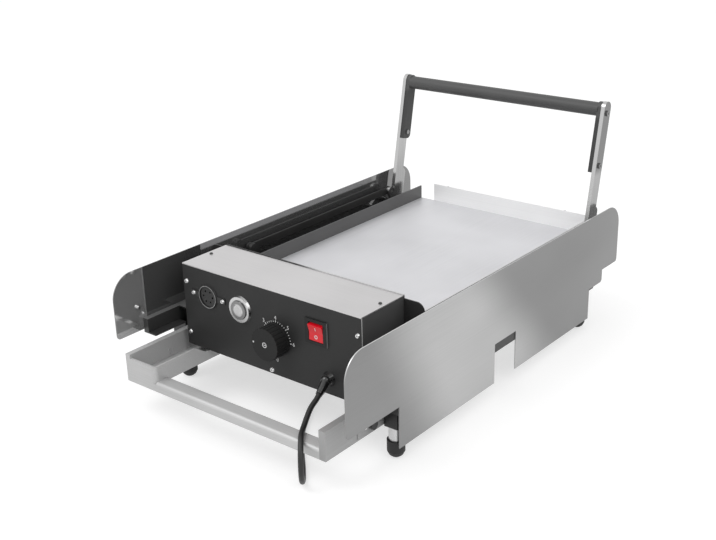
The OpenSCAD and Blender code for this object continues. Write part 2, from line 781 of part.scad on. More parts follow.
module cord_coil() {
    color([0.05, 0.05, 0.05]) tube(coil_pts, cord_r, 6, [1, 0, 0]);
}

// plug lying beside the coil
plug_x = coil_c[0] - coil_r0;
plug_y = coil_c[1] - 2 * cord_r;
plug_z = floor_z + coil_pitch;
plug_r = plug_z - 0.1;

module plug() {
    color([0.05, 0.05, 0.05]) {
        ycyl(plug_y - 40, plug_y, plug_x, plug_z, 7.5, cord_r + 1);
        ycyl(plug_y - 48, plug_y - 40, plug_x, plug_z, plug_r, 9);
        ycyl(plug_y - 74, plug_y - 48, plug_x, plug_z, plug_r);
    }
}

module plug_pins() {
    color([0.8, 0.78, 0.7]) for (s = [-1, 1]) ycyl(plug_y - 93, plug_y - 74, plug_x + s * 7, plug_z, 2.4);
}

// platen
module platen_plate_top() {
    color([0.84, 0.84, 0.86]) box3([-platen_hw, platen_y0, top_z0], [platen_hw, platen_y1, platen_top]);
}

rod_end = 16;

module rod_run(x, r) {
    ycyl(platen_y0 - 8, platen_y1 - rod_end, x, bottom_z1 + heater_r - 1.5, r);
}

module platen_plate_bottom() {
    color([0.8, 0.8, 0.82]) difference() {
        box3([-platen_hw, platen_y0, bottom_z0], [platen_hw, platen_y1, bottom_z1]);
        for (x = heater_at) rod_run(x, heater_r);
    }
}

module platen_skirt() {
    t = 3;
    color([0.6, 0.6, 0.62]) difference() {
        box3([-platen_hw, platen_y0, bottom_z1], [platen_hw, platen_y1, top_z0]);
        box3([-platen_hw + t, platen_y0 + t, bottom_z1 - 1], [platen_hw - t, platen_y1 - t, top_z0 + 1]);
        for (x = heater_at) rod_run(x, heater_r);
    }
}

module heater_rods() {
    color([0.35, 0.33, 0.32]) for (x = heater_at) rod_run(x, heater_r);
}

module fence_left() {
    color([0.3, 0.3, 0.31])
        box3([-platen_hw - fence_t, platen_y0, bottom_z0], [-platen_hw, platen_y1, platen_top + fence_h]);
}

module fence_right() {
    color([0.3, 0.3, 0.31])
        box3([platen_hw, platen_y0, bottom_z0], [platen_hw + fence_t, platen_y1, platen_top + fence_h]);
}

module fence_rear() {
    color([0.86, 0.86, 0.87]) difference() {
        box3([-platen_hw + fence_gap, platen_y1, bottom_z0],
            [platen_hw, platen_y1 + fence_t, platen_top + rear_fence_h]);
        for (s = [-1, 1]) box3([s * post_rear_x - lug_x, platen_y1 - 1, bottom_z0 - 1],
            [s * post_rear_x + lug_x, platen_y1 + 4, top_z0]);
    }
}

// bars under the platen with slots for the crank pins
module slot_cut(y) {
    y0 = y - crank_r - 0.6;
    y1 = y + crank_dy + 0.6;
    z = pivot_z + crank_dz;
    xcyl(lift_x0 - 1, lift_x1 + 1, y0, z, slot_r);
    xcyl(lift_x0 - 1, lift_x1 + 1, y1, z, slot_r);
    box3([lift_x0 - 1, y0, z - slot_r], [lift_x1 + 1, y1, z + slot_r]);
}

module lift_shape() {
    y0 = lever_y - 42;
    y1 = pivot_y + 2;
    z0 = bottom_z0 - lift_t;
    difference() {
        union() {
            box3([platen_hw - 18, y0, z0], [lift_x1, y1, bottom_z0]);
            box3([lift_x0, y0, z0], [lift_x1, y1, pivot_z + crank_dz + 11.5]);
        }
        slot_cut(lever_y);
        slot_cut(pivot_y);
    }
}

module lift_bar_right() {
    color([0.62, 0.62, 0.64]) lift_shape();
}

module lift_bar_left() {
    color([0.62, 0.62, 0.64]) mirror([1, 0, 0]) lift_shape();
}

module guide_lugs() {
    color([0.66, 0.66, 0.68]) both_sides() {
        difference() {
            box3([post_front_x - lug_x, post_front_y - 10, bottom_z0 + 1],
                [post_front_x + lug_x, platen_y0, top_z0]);
            zcyl(bottom_z0 - 1, top_z0 + 1, post_front_x, post_front_y, post_r + 0.05);
        }
        difference() {
            box3([post_rear_x - lug_x, platen_y1, bottom_z0 + 3],
                [post_rear_x + lug_x, post_rear_y + 10, top_z0]);
            zcyl(bottom_z0 - 1, top_z0 + 1, post_rear_x, post_rear_y, post_r + 0.05);
        }
    }
}

// bell crank at the foot of each arm, the same outline serves the front levers
module crank_outline() {
    circle(hub_r);
    for (a = [crank_a, rod_a]) {
        rotate(a) translate([0, -lug_r]) square([crank_r, 2 * lug_r]);
        rotate(a) translate([crank_r, 0]) circle(lug_r);
    }
}

module crank_holes(crank_hole, rod_hole) {
    circle(stud_bore);
    rotate(crank_a) translate([crank_r, 0]) circle(crank_hole);
    rotate(rod_a) translate([crank_r, 0]) circle(rod_hole);
}

module arm_shape() {
    across(arm_x0, arm_x1) translate([pivot_y, pivot_z]) difference() {
        union() {
            crank_outline();
            rotate(-handle_lean) {
                translate([-arm_w / 2, 0]) square([arm_w, arm_top_s]);
                translate([0, arm_top_s]) circle(arm_w / 2);
                square([arm_w / 2 + arm_wide, arm_wide_s]);
                translate([arm_w / 2 + arm_wide - 9, arm_wide_s]) circle(9);
            }
        }
        crank_holes(pin_r, rod_pin_r);
        rotate(-handle_lean) for (s = [grip_screw_s1, grip_screw_s2]) translate([0, s]) circle(2.6);
    }
}

module handle_arm_right() {
    color([0.72, 0.72, 0.73]) arm_shape();
}

module handle_arm_left() {
    color([0.72, 0.72, 0.73]) mirror([1, 0, 0]) arm_shape();
}

// places its children with Z along the handle arm, from the pivot
module along_arm() {
    translate([0, pivot_y, pivot_z]) rotate([-handle_lean, 0, 0]) children();
}

module leg_outline() {
    w = arm_w / 2 - 1;
    difference() {
        translate([-w, leg_s]) square([2 * w, arm_top_s - leg_s]);
        corner_out(w, leg_s, leg_r, -1, 1);
    }
    translate([0, arm_top_s]) circle(w);
}

module grip() {
    color([0.18, 0.18, 0.19]) along_arm() difference() {
        union() {
            xcyl(-arm_x0 + leg_t - 1, arm_x0 - leg_t + 1, 0, grip_s, grip_r);
            both_sides() across(arm_x0 - leg_t, arm_x0) leg_outline();
        }
        for (s = [grip_screw_s1, grip_screw_s2]) both_sides() xcyl(arm_x0 - leg_t - 1, arm_x0 + 1, 0, s, 2.4);
    }
}

module grip_screws() {
    color([0.8, 0.8, 0.8]) along_arm() both_sides() {
        for (s = [grip_screw_s1, grip_screw_s2]) {
            xcyl(arm_x1, arm_x1 + 2.5, 0, s, 4.6);
            xcyl(arm_x0 - leg_t - 0.5, arm_x1, 0, s, 2.4);
        }
        xcyl(arm_x0 - leg_t - nut_t, arm_x0 - leg_t, 0, grip_screw_s2, 4);
    }
}

module pin_shape(y) {
    xcyl(lift_x0 - 2.5, arm_x1, y + crank_dy, pivot_z + crank_dz, pin_r);
    xcyl(arm_x0, rod_x1 + 0.6, y + rod_dy, pivot_z + rod_dz, rod_pin_r);
    xcyl(rod_x1 + 0.6, rod_x1 + 2, y + rod_dy, pivot_z + rod_dz, rod_pin_r + 1.8);
}

module handle_pins() {
    color([0.75, 0.75, 0.76]) both_sides() pin_shape(pivot_y);
}

module lever_shape() {
    across(arm_x0, arm_x1) translate([lever_y, pivot_z]) difference() {
        crank_outline();
        circle(stud_bore);
    }
    pin_shape(lever_y);
}

module front_lever_right() {
    color([0.68, 0.68, 0.7]) lever_shape();
}

module front_lever_left() {
    color([0.68, 0.68, 0.7]) mirror([1, 0, 0]) lever_shape();
}

module rod_shape() {
    z = pivot_z + rod_dz;
    y0 = lever_y + rod_dy;
    y1 = pivot_y + rod_dy;
    across(rod_x0, rod_x1) difference() {
        union() {
            translate([y0, z - rod_h / 2]) square([y1 - y0, rod_h]);
            translate([y0, z]) circle(lug_r);
            translate([y1, z]) circle(lug_r);
        }
        translate([y0, z]) circle(rod_bore);
        translate([y1, z]) circle(rod_bore);
    }
}

module pull_rod_right() {
    color([0.7, 0.7, 0.72]) rod_shape();
}

module pull_rod_left() {
    color([0.7, 0.7, 0.72]) mirror([1, 0, 0]) rod_shape();
}

side_panel_right();
side_panel_left();
inner_rail_right();
inner_rail_left();
front_cross_beam();
rear_cross_beam();
bun_plate();
tray_channel();
tray_rail();
tray_bar();
tray_bolts();
tray_bush();
leg_posts();
foot_sleeves();
feet();
pivot_studs();
pivot_clips();
guide_posts();
bulkhead();
bulkhead_screws();
box_case();
front_panel();
lid();
panel_screws();
panel_studs();
lid_screws();
thermostat_body();
switch_housing();
button_bezel();
buzzer();
buzzer_screws();
relay();
terminal_block();
cord_gland();
cord();
cord_coil();
plug();
plug_pins();
knob();
rocker();
button_cap();
platen_plate_top();
platen_plate_bottom();
platen_skirt();
heater_rods();
fence_left();
fence_right();
fence_rear();
lift_bar_right();
lift_bar_left();
guide_lugs();
handle_arm_right();
handle_arm_left();
grip();
grip_screws();
handle_pins();
front_lever_right();
front_lever_left();
pull_rod_right();
pull_rod_left();
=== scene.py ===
import json
import math

import bmesh
import bpy
from mathutils import Matrix, Vector


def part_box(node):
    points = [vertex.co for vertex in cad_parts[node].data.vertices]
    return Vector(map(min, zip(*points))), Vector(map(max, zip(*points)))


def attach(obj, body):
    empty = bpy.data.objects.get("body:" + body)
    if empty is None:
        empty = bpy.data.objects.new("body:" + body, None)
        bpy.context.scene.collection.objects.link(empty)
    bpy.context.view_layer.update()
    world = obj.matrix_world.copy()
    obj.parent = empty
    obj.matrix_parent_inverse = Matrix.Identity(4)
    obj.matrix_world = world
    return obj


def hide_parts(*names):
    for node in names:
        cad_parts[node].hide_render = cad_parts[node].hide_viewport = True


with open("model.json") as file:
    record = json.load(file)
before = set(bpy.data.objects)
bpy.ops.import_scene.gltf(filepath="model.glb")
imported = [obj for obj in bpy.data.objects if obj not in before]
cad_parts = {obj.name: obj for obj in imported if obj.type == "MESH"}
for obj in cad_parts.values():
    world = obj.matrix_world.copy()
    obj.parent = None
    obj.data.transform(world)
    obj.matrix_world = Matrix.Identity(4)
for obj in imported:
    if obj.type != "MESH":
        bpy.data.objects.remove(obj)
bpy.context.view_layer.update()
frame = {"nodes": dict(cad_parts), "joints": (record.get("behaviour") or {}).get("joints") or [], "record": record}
nodes = frame["nodes"]
scene = bpy.context.scene
scene.view_settings.view_transform = "Standard"

X, Y, Z = Vector((1, 0, 0)), Vector((0, 1, 0)), Vector((0, 0, 1))
FRONT = Vector((0, -1, 0))
ON_PANEL = (X, Z, FRONT)
MM = 0.001


# Places taken from the frame, in metres

def middle(node):
    """Middle of a node's box."""
    low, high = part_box(node)
    return (low + high) / 2


panel_low, panel_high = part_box("front_panel")
PANEL_FRONT, PANEL_FOOT, PANEL_HALF = panel_low.y, panel_low.z, panel_high.x
bar_low, bar_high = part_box("tray_bar")
BAR_FRONT, BAR_TOP = bar_low.y, bar_high.z
LID_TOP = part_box("lid")[1].z
RAIL_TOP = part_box("inner_rail_left")[1].z
SIDE_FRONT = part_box("side_panel_left")[0].y
KNOB, SWITCH, BUZZER, BUTTON = (middle(n) for n in ("knob", "switch_housing", "buzzer", "button_cap"))
PIVOT = {j["child"]: Vector(j["pos_m"]) for j in frame["joints"] if "pos_m" in j}


# Camera at the photograph's place: metres, degrees, and millimetres for lens and film

CAMERA_AT = (0.9914, -1.2626, 0.7872)
CAMERA_YAW, CAMERA_PITCH, CAMERA_ROLL = 39.51, 21.82, -1.55
CAMERA_LENS, CAMERA_FILM = 56.27, 36


def make_camera():
    yaw, pitch, roll = (math.radians(a) for a in (CAMERA_YAW, CAMERA_PITCH, CAMERA_ROLL))
    ahead = Vector((-math.sin(yaw) * math.cos(pitch), math.cos(yaw) * math.cos(pitch), -math.sin(pitch)))
    side = Vector((math.cos(yaw), math.sin(yaw), 0))
    top = side.cross(ahead)
    right = math.cos(roll) * side + math.sin(roll) * top
    up = math.cos(roll) * top - math.sin(roll) * side
    data = bpy.data.cameras.new("camera")
    data.sensor_fit = "HORIZONTAL"
    data.sensor_width = CAMERA_FILM
    data.lens = CAMERA_LENS
    camera = bpy.data.objects.new("camera", data)
    scene.collection.objects.link(camera)
    turn = Matrix((right, up, -ahead)).transposed().to_4x4()
    camera.matrix_world = Matrix.Translation(CAMERA_AT) @ turn
    scene.camera = camera


# Meshes: thickness of a printed mark, top of a dot against its foot, size of type for a height of 1

INK = 0.00008
DOT_TAPER = 0.94
FONT_SCALE = 1.4


def mesh_of(name, bm, smooth=False):
    mesh = bpy.data.meshes.new(name)
    bmesh.ops.recalc_face_normals(bm, faces=bm.faces)
    for face in bm.faces:
        face.smooth = smooth
    bm.to_mesh(mesh)
    bm.free()
    return mesh


def piece(name, bm, body, look, smooth=False):
    """A new piece that rides on a body and has the given look."""
    mesh = mesh_of(name, bm, smooth)
    mesh.materials.append(look.material)
    ob = bpy.data.objects.new(name, mesh)
    scene.collection.objects.link(ob)
    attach(ob, body)
    return ob


def spokes(u, v, count):
    """Directions round a circle in the plane of u and v."""
    angles = [2 * math.pi * k / count for k in range(count)]
    return [u * math.cos(a) + v * math.sin(a) for a in angles]


def bridge(bm, a, b):
    """Faces between two loops with as many corners."""
    for k in range(len(a)):
        j = (k + 1) % len(a)
        bm.faces.new((a[k], a[j], b[j], b[k]))


def block(bm, low, high):
    """A closed block between two loops of points."""
    low, high = ([bm.verts.new(p) for p in loop] for loop in (low, high))
    bm.faces.new(low[::-1])
    bm.faces.new(high)
    bridge(bm, low, high)


def slab(bm, at, u, v, n, size_u, size_v, thick=INK):
    """A thin flat block: at is the middle of its lower face, n points out of the surface."""
    corners = ((-1, -1), (1, -1), (1, 1), (-1, 1))
    low = [at + u * (a * size_u / 2) + v * (b * size_v / 2) for a, b in corners]
    block(bm, low, [p + n * thick for p in low])


def disc(bm, at, u, v, n, r, thick=INK, count=20):
    """A thin flat dot on a surface."""
    around = spokes(u, v, count)
    block(bm, [at + d * r for d in around], [at + d * r * DOT_TAPER + n * thick for d in around])


def washer(bm, at, u, v, n, r0, r1, thick=INK, count=32):
    """A thin flat ring on a surface."""
    section = ((r0, 0), (r1, 0), (r1, thick), (r0, thick))
    loops = [[bm.verts.new(at + d * r + n * h) for r, h in section] for d in spokes(u, v, count)]
    for a, b in zip(loops, loops[1:] + loops[:1]):
        bridge(bm, a, b)


def figure(bm, text, at, u, v, n, height, thick=INK):
    """A printed figure with its middle at a point, u to the right and v up."""
    curve = bpy.data.curves.new("figure", "FONT")
    curve.body = text
    curve.size = height * FONT_SCALE
    curve.align_x = "CENTER"
    curve.align_y = "CENTER"
    curve.extrude = thick / 2
    curve.resolution_u = 3
    ob = bpy.data.objects.new("figure", curve)
    scene.collection.objects.link(ob)
    mesh = bpy.data.meshes.new_from_object(ob.evaluated_get(bpy.context.evaluated_depsgraph_get()))
    bpy.data.objects.remove(ob)
    turn = Matrix((u, v, n)).transposed().to_4x4()
    mesh.transform(Matrix.Translation(at + n * thick / 2) @ turn)
    bm.from_mesh(mesh)
    bpy.data.meshes.remove(mesh)


def tube(bm, path, r, sides):
    """A round bar along a path."""
    normal = X.copy()
    loops = []
    for i, at in enumerate(path):
        ahead = (path[min(i + 1, len(path) - 1)] - path[max(i - 1, 0)]).normalized()
        normal = (normal - ahead * normal.dot(ahead)).normalized()
        loops.append([bm.verts.new(at + d * r) for d in spokes(normal, ahead.cross(normal), sides)])
    for a, b in zip(loops, loops[1:]):
        bridge(bm, a, b)
    bm.faces.new(loops[0][::-1])
    bm.faces.new(loops[-1])


# Mains cord: the route and the coil of the source, in metres, with the points given in millimetres

CORD_R, CORD_SIDES = 0.0038, 14
CORD_Z = CORD_R + 0.0001
BAR_GAP = 0.0003
GLAND_X, GLAND_UP = 0.647 * PANEL_HALF, 0.023
GLAND_TILT, GLAND_SWING = math.radians(25), math.radians(14)
RELIEF_AHEAD, RELIEF_LONG = 0.006, 0.024
OUT = Vector((math.cos(GLAND_TILT) * math.sin(GLAND_SWING), -math.cos(GLAND_TILT) * math.cos(GLAND_SWING),
              -math.sin(GLAND_TILT)))
START = Vector((GLAND_X, PANEL_FRONT - RELIEF_AHEAD, PANEL_FOOT + GLAND_UP)) + OUT * RELIEF_LONG
TO_BAR = ((9.7, -49, 4.2), (15.2, -63.5, -1.7), (20.7, -75, -5.7), (26.7, -86, -7.6))
LOOP_X, LOOP_Y, LOOP_TURN = GLAND_X + 0.0342, BAR_FRONT + 0.006, math.radians(39)
LOOP_STEPS = 9
ON_FLOOR = ((7.3, 8.3), (16.2, 18), (27.7, 30), (42.2, 45), (58.7, 62.5), (75.5, 83.5), (90, 104), (103, 126),
            (117, 152), (130, 184), (139, 218), (143, 252), (144, 285))
COIL_X, COIL_Y, COIL_R = LOOP_X - 0.196, LOOP_Y + 0.317, 0.052
COIL_PITCH = 2 * CORD_R + 0.0008
COIL_TURNS, COIL_STEPS = 4.5, 72
CLIMB_START, CLIMB_TURNS = 2, 0.5
CURVE_STEPS = 6
TIE_HALF, TIE_THICK, TIE_FIT, TIE_UNDER = 0.006, 0.0007, 0.0004, 0.00008
TIE_FIRST, TIE_LAST = 0.25, 2.25


def cord_route():
    """From the gland over the tray bar, down in a half turn and along the floor to the coil."""
    gland = Vector((GLAND_X, PANEL_FRONT, PANEL_FOOT))
    points = [START, START + OUT * 2 * CORD_R]
    points += [gland + Vector(p) * MM for p in TO_BAR]
    r = (BAR_TOP + CORD_R + BAR_GAP - CORD_Z) / 2
    back = Vector((-math.sin(LOOP_TURN), math.cos(LOOP_TURN), 0))
    for k in range(LOOP_STEPS + 1):
        a = math.pi / 2 + math.pi * k / LOOP_STEPS
        points.append(Vector((LOOP_X, LOOP_Y, CORD_Z + r)) + r * (math.cos(a) * back + math.sin(a) * Z))
    points += [Vector((LOOP_X - x * MM, LOOP_Y + y * MM, CORD_Z)) for x, y in ON_FLOOR]
    points += [Vector((COIL_X + COIL_R, COIL_Y - k * CORD_R, CORD_Z)) for k in (4, 2)]
    return points


def curve_through(points):
    """A Catmull-Rom curve through the points."""
    last = len(points) - 1
    fine = []
    for i in range(last):
        a, b, c, d = (points[min(max(i + k, 0), last)] for k in (-1, 0, 1, 2))
        for k in range(CURVE_STEPS):
            t = k / CURVE_STEPS
            square = (2 * a - 5 * b + 4 * c - d) * t * t
            cube = (3 * b - a - 3 * c + d) * t ** 3
            fine.append(0.5 * (2 * b + (c - a) * t + square + cube))
    fine.append(points[-1])
    return fine


def coil_turns():
    """Turns that wind in on the floor, climb by one cord and wind out again to the plug."""
    turns = []
    for k in range(int(COIL_TURNS * COIL_STEPS) + 1):
        u = k / COIL_STEPS
        r = COIL_R - COIL_PITCH * min(u, COIL_TURNS - u)
        rise = COIL_PITCH * max(0, min(1, (u - CLIMB_START) / CLIMB_TURNS))
        a = 2 * math.pi * u
        turns.append(Vector((COIL_X + r * math.cos(a), COIL_Y + r * math.sin(a), CORD_Z + rise)))
    turns.append(Vector((COIL_X - COIL_R, COIL_Y - 2 * CORD_R, CORD_Z + COIL_PITCH)))
    return turns


def make_tie(look):
    """Strap round the coil's turns on the side away from the camera."""
    bm = bmesh.new()
    y0 = COIL_Y + COIL_R - TIE_LAST * COIL_PITCH - CORD_R - TIE_FIT
    y1 = COIL_Y + COIL_R - TIE_FIRST * COIL_PITCH + CORD_R + TIE_FIT
    z1 = CORD_Z + COIL_PITCH + CORD_R + TIE_FIT
    inner = ((y0, TIE_UNDER), (y1, TIE_UNDER), (y1, z1), (y0, z1))
    low, high, top = y0 - TIE_THICK, y1 + TIE_THICK, z1 + TIE_THICK
    outer = ((low, 0), (high, 0), (high, top), (low, top))
    loops = [[bm.verts.new((COIL_X + side * TIE_HALF, y, z)) for y, z in loop]
             for loop, side in ((outer, -1), (outer, 1), (inner, 1), (inner, -1))]
    for a, b in zip(loops, loops[1:] + loops[:1]):
        bridge(bm, a, b)
    return piece("cord_tie", bm, "base", look)


def make_cord(look):
    path = curve_through(cord_route()) + coil_turns()
    bm = bmesh.new()
    tube(bm, path, CORD_R, CORD_SIDES)
    ob = piece("cord_run", bm, "base", look, True)
    tie = make_tie(look)
    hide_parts("cord", "cord_coil")


# Printed marks: sizes in metres, widths before lengths, angles in degrees

PRINT = "white_plastic"
DIAL_START, DIAL_STEP, DIAL_FIGURES, DIAL_TICKS = 180, 45, 7, 5
TICK_R, TICK_LONG, TICK_SHORT = 0.0252, (0.0012, 0.0030), (0.0009, 0.0020)
FIGURE_R, FIGURE_HIGH = 0.0320, 0.0058
KNOB_RING, KNOB_BAR = (0.0029, 0.0040), (0.0050, 0.0008)
KNOB_DOT_OUT, KNOB_DOT_R = 0.0208, 0.0014
ROCKER_REST, ROCKER_END, ROCKER_MID, ROCKER_HALF = 7, -0.0095, -0.0078, 0.0118
ROCKER_LINE, ROCKER_RING = (0.0011, 0.0052), (0.0017, 0.0027)
BUZZER_AHEAD, BUZZER_RING, BUZZER_RING_THICK, BUZZER_RING_SIDES = 0.0025, (0.0162, 0.0170), 0.0004, 64


def dial_ray(degrees):
    """Directions outwards and along the dial, at an angle clockwise from its top."""
    a = math.radians(degrees)
    return X * math.sin(a) + Z * math.cos(a), X * math.cos(a) - Z * math.sin(a)


def make_dial(look):
    bm = bmesh.new()
    mid = Vector((KNOB.x, PANEL_FRONT, KNOB.z))
    for k in range((DIAL_FIGURES - 1) * DIAL_TICKS + 1):
        out, along = dial_ray(DIAL_START + DIAL_STEP * k / DIAL_TICKS)
        width, length = TICK_SHORT if k % DIAL_TICKS else TICK_LONG
        slab(bm, mid + out * (TICK_R + length / 2), along, out, FRONT, width, length)
    for k in range(DIAL_FIGURES):
        out = dial_ray(DIAL_START + DIAL_STEP * k)[0]
        figure(bm, str(k), mid + out * FIGURE_R, *ON_PANEL, FIGURE_HIGH)
    piece("dial_scale", bm, "base", look)


def make_knob_marks(look):
    """Ring and bar in the middle of the knob, and the dot near its rim."""
    bm = bmesh.new()
    mid = Vector((KNOB.x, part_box("knob")[0].y, KNOB.z))
    washer(bm, mid, *ON_PANEL, *KNOB_RING)
    slab(bm, mid, *ON_PANEL, *KNOB_BAR)
    disc(bm, mid - X * KNOB_DOT_OUT, *ON_PANEL, KNOB_DOT_R)
    piece("knob_marks", bm, "knob", look)


def make_rocker_marks(look):
    """Line and ring on the two halves of the rocker, which are flat from its middle to its ends."""
    bm = bmesh.new()
    turn = Matrix.Rotation(math.radians(ROCKER_REST), 3, "X")
    for sign, mark, sizes in ((1, slab, ROCKER_LINE), (-1, washer, ROCKER_RING)):
        at = turn @ Vector((0, (ROCKER_END + ROCKER_MID) / 2, sign * ROCKER_HALF / 2))
        up = turn @ Vector((0, (ROCKER_END - ROCKER_MID) * sign, ROCKER_HALF)).normalized()
        mark(bm, PIVOT["rocker"] + at, X, up, X.cross(up), *sizes)
    piece("rocker_marks", bm, "rocker", look)


# The thin grey ring near the buzzer's rim is a painted highlight of its edge.
def make_buzzer_ring(look):
    bm = bmesh.new()
    at = Vector((BUZZER.x, PANEL_FRONT - BUZZER_AHEAD, BUZZER.z))
    washer(bm, at, *ON_PANEL, *BUZZER_RING, BUZZER_RING_THICK, BUZZER_RING_SIDES)
    piece("buzzer_rim_highlight", bm, "base", look)


# Cross recesses of the screw heads, drawn as thin dark crosses of painted shade: places as in the source, in
# metres, and how far each cross reaches

CROSS_SLIM, CROSS_THICK, CROSS_OVER = 0.22, 0.00006, 0.00007
PANEL_INSET, PANEL_RISES, PANEL_LOW_SCREW, PANEL_CROSS = 0.0066, (0.101, 0.0205), (0.003, 0.0055), 0.0034
BUZZER_PITCH, BUZZER_CROSS = 0.0294, 0.003
LID_INSET, LID_CROSS = 0.0086, 0.0026
HANDLE_LEAN, HANDLE_TOP = math.radians(11.5), 0.367
GRIP_DROPS, GRIP_CROSS = (0.0188, 0.1025), 0.0052


def panel_heads():
    edge = PANEL_HALF - PANEL_INSET
    places = [(x, rise) for x in (-edge, edge) for rise in PANEL_RISES]
    places.append(PANEL_LOW_SCREW)
    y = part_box("panel_screws")[0].y
    heads = [(Vector((x, y, PANEL_FOOT + rise)), ON_PANEL, PANEL_CROSS) for x, rise in places]
    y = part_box("buzzer_screws")[0].y
    for side in (-1, 1):
        heads.append((Vector((BUZZER.x + side * BUZZER_PITCH, y, BUZZER.z)), ON_PANEL, BUZZER_CROSS))
    return heads


def lid_heads():
    y, z = middle("lid_screws").y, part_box("lid_screws")[1].z
    return [(Vector((side * (PANEL_HALF - LID_INSET), y, z)), (X, Y, Z), LID_CROSS) for side in (-1, 1)]


def grip_heads():
    along = Vector((0, math.sin(HANDLE_LEAN), math.cos(HANDLE_LEAN)))
    pivot = PIVOT["handle"]
    arm_long = (HANDLE_TOP - pivot.z) / math.cos(HANDLE_LEAN)
    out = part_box("grip_screws")[1].x
    return [(pivot + along * (arm_long - drop) + X * side * out, (Y, Z, X * side), GRIP_CROSS)
            for side in (-1, 1) for drop in GRIP_DROPS]


# The dark crosses are painted shade standing in for the recesses.
def make_crosses(look):
    groups = (("panel_crosses", "base", panel_heads()), ("lid_crosses", "base", lid_heads()),
              ("grip_crosses", "handle", grip_heads()))
    for name, body, heads in groups:
        bm = bmesh.new()
        for at, (u, v, n), size in heads:
            u, v = (u + v).normalized(), (v - u).normalized()
            slab(bm, at, u, v, n, size, size * CROSS_SLIM, CROSS_THICK)
            slab(bm, at, u, v, n, size * CROSS_SLIM, size, CROSS_OVER)
        piece(name, bm, body, look)


# Materials: tools

NOISE_SPAN, MIXED_SPAN = (0.3, 0.7), (0.36, 0.64)
GRAIN = {"x": (5, 900, 900), "y": (900, 5, 900), "z": (900, 900, 5)}
# A face looks along an axis when its normal passes this on it
LOOKS_ALONG = 0.5


def grey(value, tint=(1, 1, 1)):
    """Linear colour of an sRGB grey from 0 to 255."""
    s = value / 255
    g = s / 12.92 if s <= 0.04045 else ((s + 0.055) / 1.055) ** 2.4
    return tuple(g * t for t in tint)


def shade(col, k):
    return tuple(min(1.0, v * k) for v in col)


def rgba(col):
    return (*col, 1)


class Net:
    """A node tree with a short call for each kind of node that the looks need."""

    def __init__(self, tree):
        self.nodes = tree.nodes
        self.links = tree.links

    def feed(self, socket, value):
        """Links another node's output to the socket, or sets a constant."""
        if isinstance(value, bpy.types.NodeSocket):
            self.links.new(value, socket)
        else:
            socket.default_value = value

    def node(self, kind, inputs, **settings):
        """The outputs of a new node with these settings and inputs."""
        node = self.nodes.new("ShaderNode" + kind)
        for name, value in settings.items():
            setattr(node, name, value)
        for key, value in inputs.items():
            self.feed(node.inputs[key], value)
        return node.outputs

    def math(self, operation, a, b=0.0):
        return self.node("Math", {0: a, 1: b}, operation=operation)["Value"]

    def over(self, value, limit):
        """1 where value is above the limit, else 0."""
        return self.math("GREATER_THAN", value, limit)

    def both(self, a, b):
        """The product of two masks."""
        return self.math("MULTIPLY", a, b)

    def weighted(self, a, share_a, b, share_b):
        return self.math("ADD", self.math("MULTIPLY", a, share_a), self.math("MULTIPLY", b, share_b))

    def texture_place(self):
        """The part's own coordinates as a vector."""
        return self.node("TexCoord", {})["Object"]

    def place(self):
        """The part's own coordinates as X, Y and Z."""
        return self.node("SeparateXYZ", {"Vector": self.texture_place()})

    def normal(self):
        """The direction that a face looks in, in the part's own axes, as X, Y and Z."""
        return self.node("SeparateXYZ", {"Vector": self.node("TexCoord", {})["Normal"]})

    def noise(self, stretch, detail, rough):
        """A noise, packed by stretch along each axis."""
        at = self.node("Mapping", {"Vector": self.texture_place(), "Scale": stretch})["Vector"]
        inputs = {"Vector": at, "Scale": 1.0, "Detail": detail, "Roughness": rough}
        return self.node("TexNoise", inputs)["Fac"]

    def spread(self, value, low, high, span=NOISE_SPAN, kind="LINEAR"):
        """value over a span, mapped to low to high."""
        inputs = {"Value": value, "From Min": span[0], "From Max": span[1], "To Min": low, "To Max": high}
        return self.node("MapRange", inputs, interpolation_type=kind)["Result"]

    def fade(self, value, a, b, low=0.0, high=1.0):
        """A soft step of value from a to b."""
        return self.spread(value, low, high, (a, b), "SMOOTHSTEP")

    def mix(self, share, a, b):
        """Two colours mixed by a number."""
        return self.node("Mix", {0: share, 6: a, 7: b}, data_type="RGBA")[2]

    def mix_numbers(self, share, a, b):
        return self.node("Mix", {0: share, 2: a, 3: b})[0]

    def tone(self, value, col, low, high, span=NOISE_SPAN):
        """value over a span, mapped to shades of a colour from low to high."""
        return self.mix(self.spread(value, 0.0, 1.0, span), rgba(shade(col, low)), rgba(shade(col, high)))

    def bump(self, height, strength, distance):
        return self.node("Bump", {"Height": height, "Strength": strength, "Distance": distance})["Normal"]


class Look(Net):
    """A material on one principled shader."""

    def __init__(self, name):
        self.name = name
        self.material = bpy.data.materials.new(name)
        self.material.use_nodes = True
        super().__init__(self.material.node_tree)
        self.surface = self.nodes["Principled BSDF"].inputs

    def finish(self, inputs):
        for key, value in inputs.items():
            self.feed(self.surface[key], value)
        return self

    def overlay(self, where, col):
        """Lays a second colour over the first where the mask is 1."""
        first = self.surface["Base Color"].links[0].from_socket
        return self.finish({"Base Color": self.mix(where, first, rgba(col))})


# Materials: kinds

def brushed(name, col, rough, along, streak=0.07, cloud=0.05, metal=1.0):
    """Sheet or bar with a fine grain along one axis and broad clouding."""
    look = Look(name)
    fine = look.noise(GRAIN[along], 4.0, 0.6)
    broad = look.noise((7, 7, 7), 2.0, 0.5)
    vary = streak + cloud
    mixed = look.weighted(fine, streak / vary, broad, cloud / vary)
    return look.finish({
        "Base Color": look.tone(mixed, col, 1 - vary, 1 + vary, MIXED_SPAN),
        "Roughness": look.spread(fine, rough - 0.05, rough + 0.07),
        "Metallic": metal,
        "Normal": look.bump(fine, 0.05, 0.0002),
    })


